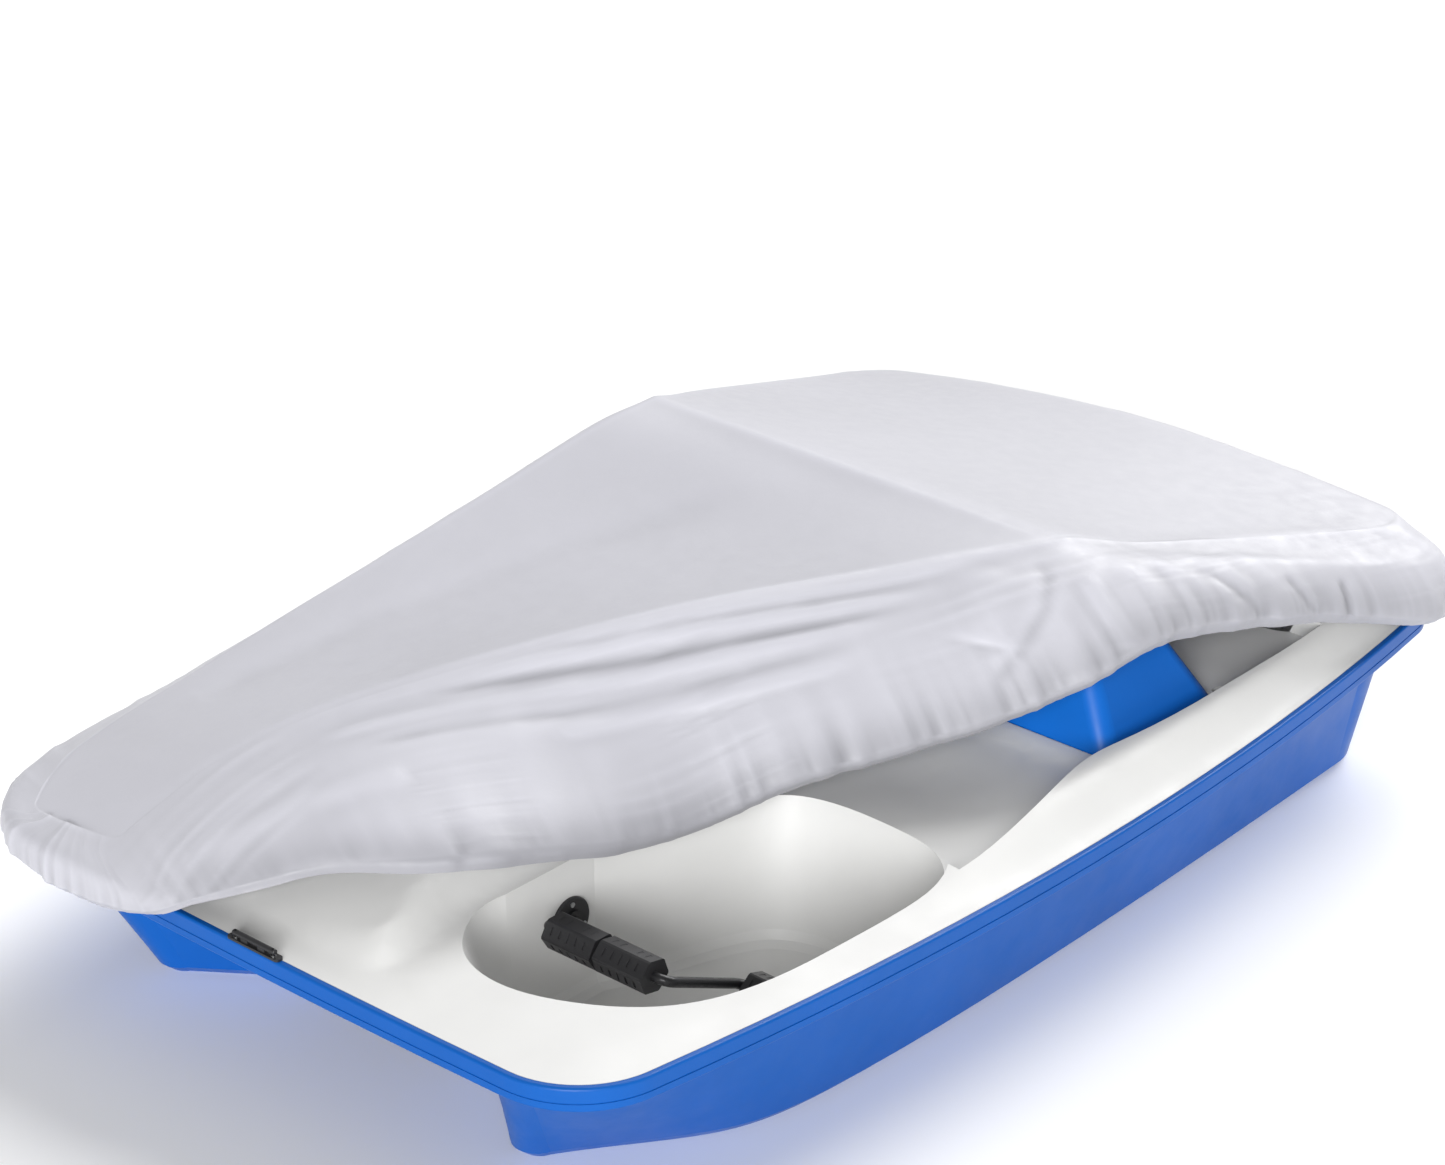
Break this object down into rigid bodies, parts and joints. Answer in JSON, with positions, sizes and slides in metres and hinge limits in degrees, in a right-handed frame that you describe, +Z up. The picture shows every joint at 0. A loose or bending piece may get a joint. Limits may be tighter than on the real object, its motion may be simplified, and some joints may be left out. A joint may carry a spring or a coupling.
{
  "type": "pedal boat",
  "caption": "Twin-float pedal boat with moulded deck, double-sided backrest, cranked pedals, paddle wheel, steered rudder and a lifted fabric cover.",
  "frame": {"origin": "on the ground under the middle of the deck", "axes": "+X towards the bow, +Y to port, +Z up"},
  "size_m": [2.395, 1.6079, 0.642],
  "materials": {
    "hull_blue": "smooth",
    "deck_grey": "fine grain",
    "foam": "cellular",
    "crank_black": "satin",
    "black_plastic": "fine grain",
    "paddle": "smooth",
    "stainless": "brushed",
    "grip": "matte",
    "cover_cloth": "coated weave"
  },
  "bodies": {
    "boat": {"hull_shell": "hull_blue", "deck_shell": "deck_grey", "foam_port": "foam", "foam_starboard": "foam", "backrest_shell": "hull_blue", "inner_bearings": "black_plastic", "inner_bearing_screws": "stainless", "outer_bearings": "black_plastic", "steering_bush": "black_plastic", "steering_foot": "black_plastic", "rudder_bush": "black_plastic", "bow_cleat": "black_plastic", "cleat_screws": "stainless", "drain_plugs": "black_plastic"},
    "crank": {"crank_bar_port": "crank_black", "crank_bar_starboard": "crank_black", "paddle_hub": "paddle", "paddle_blades": "paddle"},
    "pedal_inner_port": {"pedal_inner_port": "black_plastic"},
    "pedal_middle_port": {"pedal_middle_port": "black_plastic"},
    "pedal_outer_port": {"pedal_outer_port": "black_plastic"},
    "pedal_inner_starboard": {"pedal_inner_starboard": "black_plastic"},
    "pedal_middle_starboard": {"pedal_middle_starboard": "black_plastic"},
    "pedal_outer_starboard": {"pedal_outer_starboard": "black_plastic"},
    "steering": {"steering_shaft": "stainless", "steering_grip": "grip", "steering_arm": "stainless"},
    "link": {"link_rod": "stainless"},
    "rudder": {"rudder_arm": "stainless", "rudder_stock": "stainless", "rudder_blade": "paddle"},
    "cover": {"cover_fabric": "cover_cloth"}
  },
  "joints": [
    {"name": "crank_spin", "type": "hinge", "parent": "boat", "child": "crank", "pos_m": [0.651, 0, 0.181], "axis": [0, 1, 0], "continuous": true},
    {"name": "pedal_inner_port_spin", "type": "hinge", "parent": "crank", "child": "pedal_inner_port", "pos_m": [0.74254, 0.2945, 0.22368], "axis": [0, 1, 0], "continuous": true},
    {"name": "pedal_middle_port_spin", "type": "hinge", "parent": "crank", "child": "pedal_middle_port", "pos_m": [0.74254, 0.4075, 0.22368], "axis": [0, 1, 0], "continuous": true},
    {"name": "pedal_outer_port_spin", "type": "hinge", "parent": "crank", "child": "pedal_outer_port", "pos_m": [0.55946, 0.553, 0.13832], "axis": [0, 1, 0], "continuous": true},
    {"name": "pedal_inner_starboard_spin", "type": "hinge", "parent": "crank", "child": "pedal_inner_starboard", "pos_m": [0.55946, -0.2945, 0.13832], "axis": [0, 1, 0], "continuous": true},
    {"name": "pedal_middle_starboard_spin", "type": "hinge", "parent": "crank", "child": "pedal_middle_starboard", "pos_m": [0.55946, -0.4075, 0.13832], "axis": [0, 1, 0], "continuous": true},
    {"name": "pedal_outer_starboard_spin", "type": "hinge", "parent": "crank", "child": "pedal_outer_starboard", "pos_m": [0.74254, -0.553, 0.22368], "axis": [0, 1, 0], "continuous": true},
    {"name": "steering_turn", "type": "hinge", "parent": "boat", "child": "steering", "pos_m": [0.33, 0, 0.3], "axis": [0, 0, 1], "range_deg": [-35, 35]},
    {"name": "link_pivot", "type": "hinge", "parent": "steering", "child": "link", "pos_m": [0.33, 0.06, 0.255], "axis": [0, 0, 1], "range_deg": [-35, 35]},
    {"name": "rudder_turn", "type": "hinge", "parent": "boat", "child": "rudder", "pos_m": [-1.01, 0, 0.2], "axis": [0, 0, 1], "range_deg": [-35, 35]},
    {"name": "cover_lift", "type": "slide", "parent": "boat", "child": "cover", "axis": [0, 0, 1], "range_m": [0, 0.45]}
  ],
  "couplings": [
    {"joint": "link_pivot", "follows": "steering_turn", "ratio": -1},
    {"joint": "rudder_turn", "follows": "steering_turn", "ratio": 1}
  ]
}
